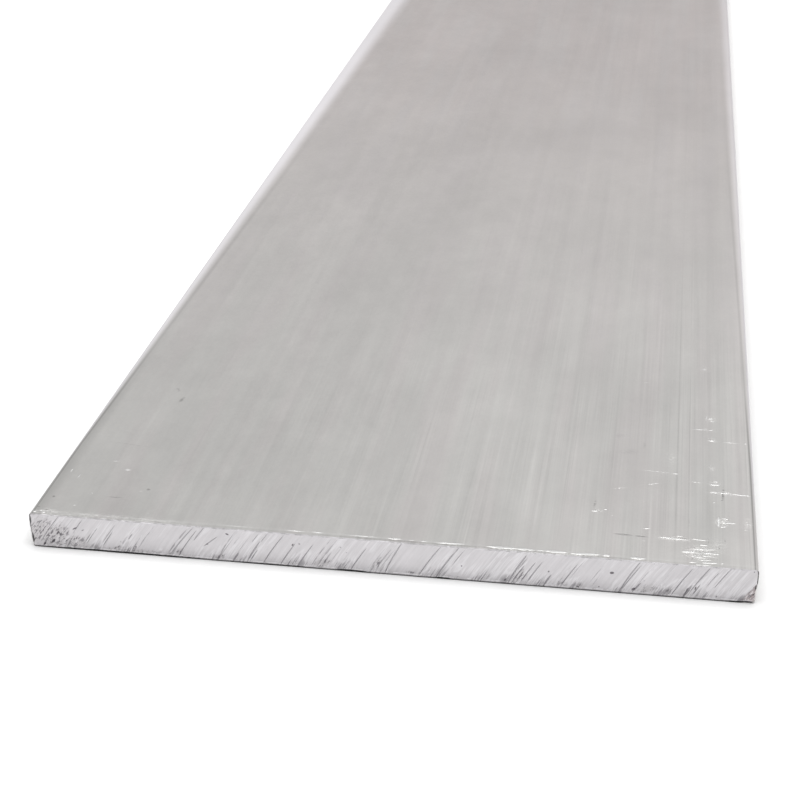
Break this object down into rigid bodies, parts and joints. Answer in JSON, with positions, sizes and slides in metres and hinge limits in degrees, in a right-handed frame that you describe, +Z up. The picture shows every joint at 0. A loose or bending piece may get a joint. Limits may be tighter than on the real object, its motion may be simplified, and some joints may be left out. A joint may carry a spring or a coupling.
{
  "type": "flat bar",
  "caption": "Cut length of mill-finish aluminium flat bar with small rounded long edges and square sawn ends, raw stock for brackets, braces and plates.",
  "frame": {"origin": "centre of the underside, midway along the length", "axes": "+X across the width, +Y along the length, away from the sawn end that is seen in front, +Z up through the thickness"},
  "size_m": [0.12, 0.5, 0.006],
  "materials": {
    "mill_aluminium": "mill finish with fine lengthwise die lines, sawn ends"
  },
  "bodies": {
    "root": {"flat_bar": "mill_aluminium"}
  },
  "joints": []
}
